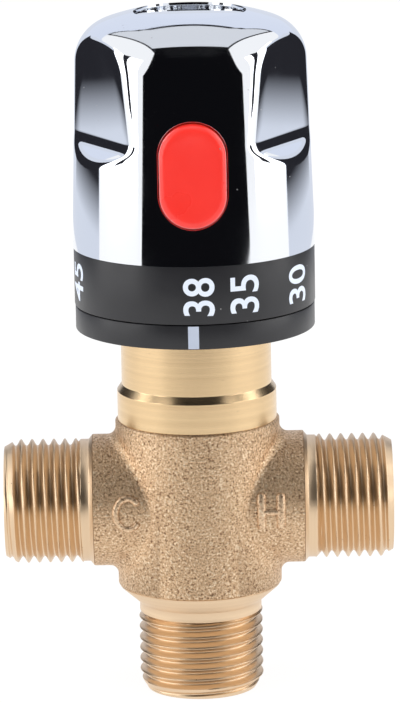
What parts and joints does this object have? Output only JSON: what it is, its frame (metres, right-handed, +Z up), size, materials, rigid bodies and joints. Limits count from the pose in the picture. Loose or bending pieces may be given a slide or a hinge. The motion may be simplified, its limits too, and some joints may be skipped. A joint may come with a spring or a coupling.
{
  "type": "thermostatic mixing valve",
  "caption": "Brass mixing valve with threaded hot, cold and mixed ports, turned neck, black temperature dial and chrome knob with a red safety button.",
  "frame": {"origin": "centre of the mixed outlet's end face", "axes": "+Z up the spindle's axis from the outlet to the knob, +X out of the hot inlet, -Y the side that the knob's button faces"},
  "size_m": [0.0642, 0.0408, 0.1139],
  "materials": {
    "cast_brass": "blasted casting, turned ends",
    "turned_brass": "turned",
    "chrome_plate": "polished chrome plate",
    "black_plastic": "satin",
    "red_plastic": "semi-gloss",
    "white_plastic": "satin",
    "seal_rubber": "matte",
    "spring_steel": "plain"
  },
  "bodies": {
    "valve": {"valve_body": "cast_brass", "cartridge_sleeve": "turned_brass", "cartridge_bonnet": "turned_brass", "lower_o_ring": "seal_rubber", "middle_o_ring": "seal_rubber", "upper_o_ring": "seal_rubber", "return_spring": "spring_steel", "hot_check_cage": "white_plastic", "cold_check_cage": "white_plastic", "hot_snap_ring": "spring_steel", "cold_snap_ring": "spring_steel", "hot_check_spring": "spring_steel", "cold_check_spring": "spring_steel", "stop_ring": "black_plastic", "neck_clip": "spring_steel"},
    "knob": {"handle_shell": "chrome_plate", "dial_ring": "black_plastic", "spline_insert": "white_plastic", "handle_screw": "spring_steel", "top_cap": "chrome_plate", "spindle": "turned_brass", "spindle_o_ring": "seal_rubber", "button_spring": "spring_steel"},
    "button": {"safety_button": "red_plastic"},
    "regulator": {"regulating_nut": "turned_brass", "overtravel_spring": "spring_steel", "thrust_cup": "turned_brass", "element_piston": "spring_steel"},
    "element": {"wax_element": "turned_brass", "mixing_spool": "white_plastic"},
    "hot_poppet": {"hot_check_poppet": "white_plastic"},
    "cold_poppet": {"cold_check_poppet": "white_plastic"}
  },
  "joints": [
    {"name": "knob_turn", "type": "hinge", "parent": "valve", "child": "knob", "pos_m": [0, 0, 0.09], "axis": [0, 0, 1], "range_deg": [-118, 82]},
    {"name": "regulator_slide", "type": "slide", "parent": "valve", "child": "regulator", "axis": [0, 0, 1], "range_m": [-0.0007, 0.0005], "deforming": ["return_spring"]},
    {"name": "element_stroke", "type": "slide", "parent": "regulator", "child": "element", "axis": [0, 0, 1], "range_m": [-0.0003, 0.0003], "stiffness_N_per_m": 4000},
    {"name": "button_press", "type": "slide", "parent": "knob", "child": "button", "axis": [0, 1, 0], "range_m": [0, 0.002], "stiffness_N_per_m": 600, "springref_m": -0.002, "deforming": ["button_spring"]},
    {"name": "hot_check_slide", "type": "slide", "parent": "valve", "child": "hot_poppet", "axis": [-1, 0, 0], "range_m": [0, 0.0022], "stiffness_N_per_m": 60, "springref_m": -0.002, "deforming": ["hot_check_spring"]},
    {"name": "cold_check_slide", "type": "slide", "parent": "valve", "child": "cold_poppet", "axis": [1, 0, 0], "range_m": [0, 0.0022], "stiffness_N_per_m": 60, "springref_m": -0.002, "deforming": ["cold_check_spring"]}
  ],
  "couplings": [
    {"joint": "regulator_slide", "follows": "knob_turn", "m_per_rad": 0.00031831}
  ]
}
